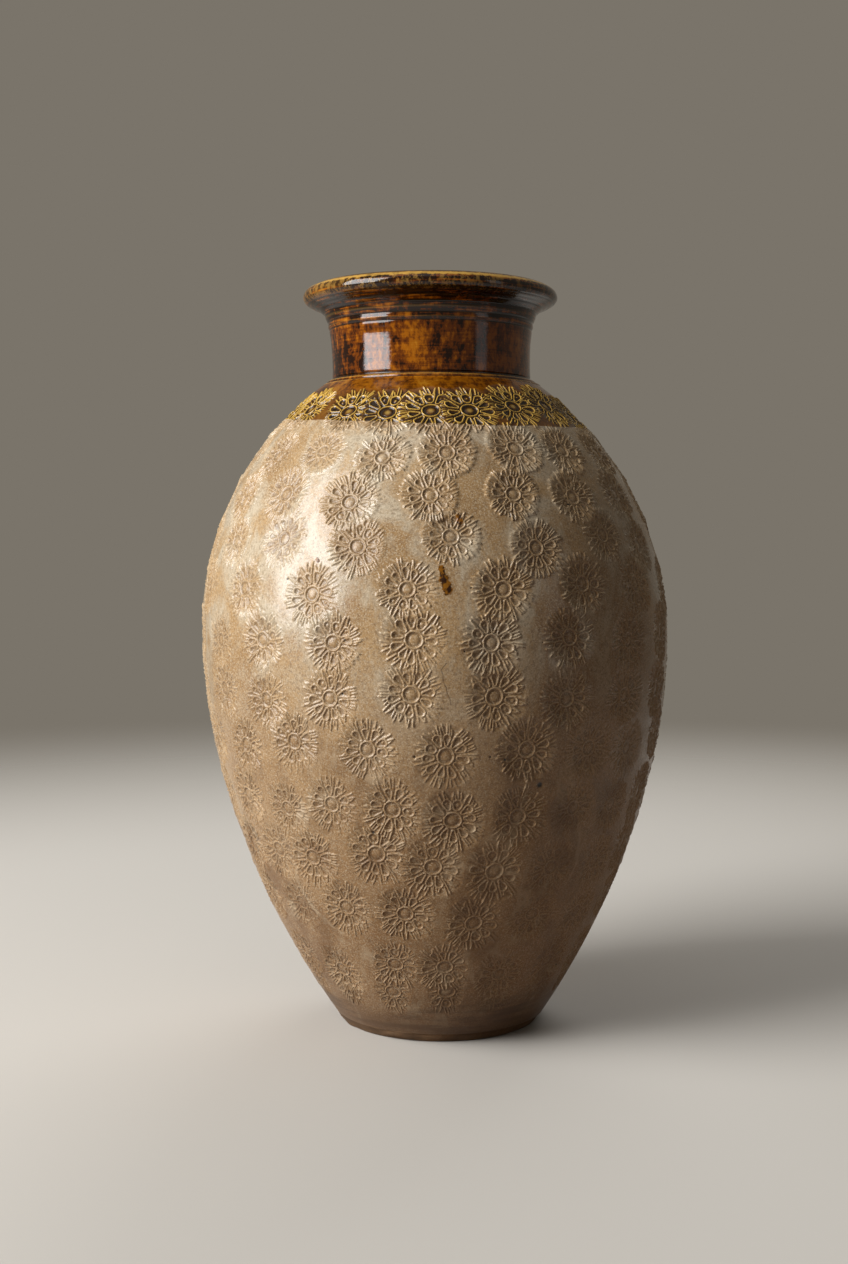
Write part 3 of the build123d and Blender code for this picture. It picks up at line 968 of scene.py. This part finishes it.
# Ring at the neck's root: two soft beads, with its tones as shares of its profile and how light they are
RING = [
    (59.7, 345.5), (59.5, 346.5), (58.7, 346.9), (57.9, 346.8), (57.4, 347.2),
    (57.1, 348.1), (56.4, 348.8), (55.4, 349.0), (54.6, 348.9), (53.8, 349.1),
]
RING_INSIDE = [(53.2, 348.4), (53.2, 346.6), (56.5, 345.3)]
RING_SHARES = (0, 0.16, 0.38, 0.60, 0.85, 1)
RING_TONES = (0, 0.5, -0.8, 0.45, -0.3, -0.8)
ring_outer = smooth_line(np.array(RING) * MM, 0.2 * MM)
ring_rise, _ = neck_relief(ring_outer, [])
ring_tones = np.interp(np.linspace(0, 1, len(ring_outer)), RING_SHARES, RING_TONES)
neck_piece("neck_ring", ring_outer, np.array(RING_INSIDE) * MM, ring_rise, ring_tones[:, None])

# Lip: the flare runs on into a rolled edge and down to the throat
LIP = [
    (58.2, 385.6), (59.5, 386.7), (60.9, 387.7), (62.8, 388.7), (65.0, 389.6), (67.3, 390.9),
    (68.8, 392.8), (68.8, 395.0), (67.7, 396.8), (65.5, 398.4), (62.8, 399.5), (60.2, 399.5),
    (57.2, 398.0), (53.8, 395.6), (50.2, 391.6), (47.4, 387.4), (46.0, 383.4),
]
LIP_INSIDE = [(47.2, 383.4), (56.6, 385.2)]
LIP_RIDGES = [
    (387.6 * MM, -0.25 * MM, 0.35 * MM),
    (389.0 * MM, -0.2 * MM, 0.3 * MM),
    (390.3 * MM, -0.2 * MM, 0.3 * MM),
]
lip_outer = smooth_line(np.array(LIP) * MM, 0.35 * MM)
lip_inner, _ = even(np.array(LIP_INSIDE) * MM, 1.2 * MM)
lip_rise, lip_lines = neck_relief(lip_outer, LIP_RIDGES)
outside = np.arange(len(lip_outer))[:, None] < np.argmax(lip_outer[:, 1])
neck_piece("rim_roll", lip_outer, lip_inner, lip_rise * outside, lip_lines * outside)

# The inner coils stay as the CAD has them and get a material
for name in ("base_coil", "girth_coil", "shoulder_coil"):
    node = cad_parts[name]
    node.data.materials.clear()
    node.data.materials.append(inner_material)

# Stage: a pale floor that fades into a pale studio, which the camera and reflections see
PALE = srgb(122, 116, 106)
FLOOR_SEEN = srgb(206, 201, 193)
FLOOR_BOUNCE = srgb(98, 70, 42)
FLOOR_SIZE = 12
FLOOR_FADE = (0.45, 1.5)
STUDIO_GLOW = (0.04, 0.035, 0.027)


def seen_directly(n):
    """1 for rays that show a colour as it is, 0 for the ones that light other surfaces."""
    path = n.new("LightPath").outputs
    seen = n.math("MAXIMUM", path["Is Camera Ray"], path["Is Glossy Ray"])
    return n.math("MAXIMUM", seen, path["Is Transmission Ray"])


bpy.ops.mesh.primitive_grid_add(x_subdivisions=2, y_subdivisions=2, size=FLOOR_SIZE)
floor = bpy.context.object
floor.name = "floor"
n = Nodes(bpy.data.materials.new("pale_floor"))
seen = seen_directly(n)
n.set(n.shader.inputs["Base Color"], n.mix(seen, FLOOR_BOUNCE, FLOOR_SEEN))
n.shader.inputs["Roughness"].default_value = 0.9
n.shader.inputs["Specular IOR Level"].default_value = 0.2
distance = n.new("VectorMath")
distance.operation = "LENGTH"
n.set(distance.inputs[0], n.place((1, 1, 0)))
fade = n.times(seen, n.fit(distance.outputs["Value"], *FLOOR_FADE))
clear = n.new("BsdfTransparent")
join = n.new("MixShader", Fac=fade)
n.tree.links.new(n.shader.outputs[0], join.inputs[1])
n.tree.links.new(clear.outputs[0], join.inputs[2])
n.tree.links.new(join.outputs[0], n.tree.nodes["Material Output"].inputs["Surface"])
floor.data.materials.append(n.owner)

world = bpy.data.worlds.new("studio")
bpy.context.scene.world = world
n = Nodes(world, "Background")
n.set(n.shader.inputs["Color"], n.mix(seen_directly(n), STUDIO_GLOW, PALE))
n.shader.inputs["Strength"].default_value = 1.0


LAMP_AIM = 230.0 * MM


def softbox(name, azimuth, elevation, distance, width, height, power, mirrored=True):
    """An area light that faces the jar's middle."""
    data = bpy.data.lights.new(name, "AREA")
    data.shape = "RECTANGLE"
    data.size, data.size_y = width, height
    data.energy = power
    lamp = bpy.data.objects.new(name, data)
    bpy.context.scene.collection.objects.link(lamp)
    lamp.visible_glossy = mirrored
    a, e = math.radians(azimuth), math.radians(elevation)
    aim = Vector((0, 0, LAMP_AIM))
    back = Vector((math.sin(a) * math.cos(e), -math.cos(a) * math.cos(e), math.sin(e)))
    lamp.location = aim + back * distance
    lamp.rotation_mode = "QUATERNION"
    lamp.rotation_quaternion = (-back).to_track_quat("-Z", "Y")


softbox("window", azimuth=-65, elevation=25, distance=2.2, width=1.36, height=2.0, power=86)
softbox("fill", azimuth=58, elevation=12, distance=1.5, width=0.35, height=1.0, power=0.7)
softbox("top", azimuth=-30, elevation=75, distance=1.8, width=1.2, height=1.2, power=2.0)
softbox("behind", azimuth=162, elevation=30, distance=2.0, width=1.4, height=1.2, power=18, mirrored=False)

camera = bpy.data.objects.new("camera", bpy.data.cameras.new("camera"))
bpy.context.scene.collection.objects.link(camera)
camera.data.sensor_width = SENSOR
camera.data.lens = SENSOR * FOCAL_PIXELS / IMAGE_HEIGHT
camera.location = (CAMERA_X, -CAMERA_DISTANCE, CAMERA_HEIGHT)
camera.rotation_euler = (math.radians(90) - CAMERA_PITCH, 0, 0)
camera.data.clip_start, camera.data.clip_end = 0.05, 50
bpy.context.scene.camera = camera
bpy.context.scene.view_settings.view_transform = "Standard"
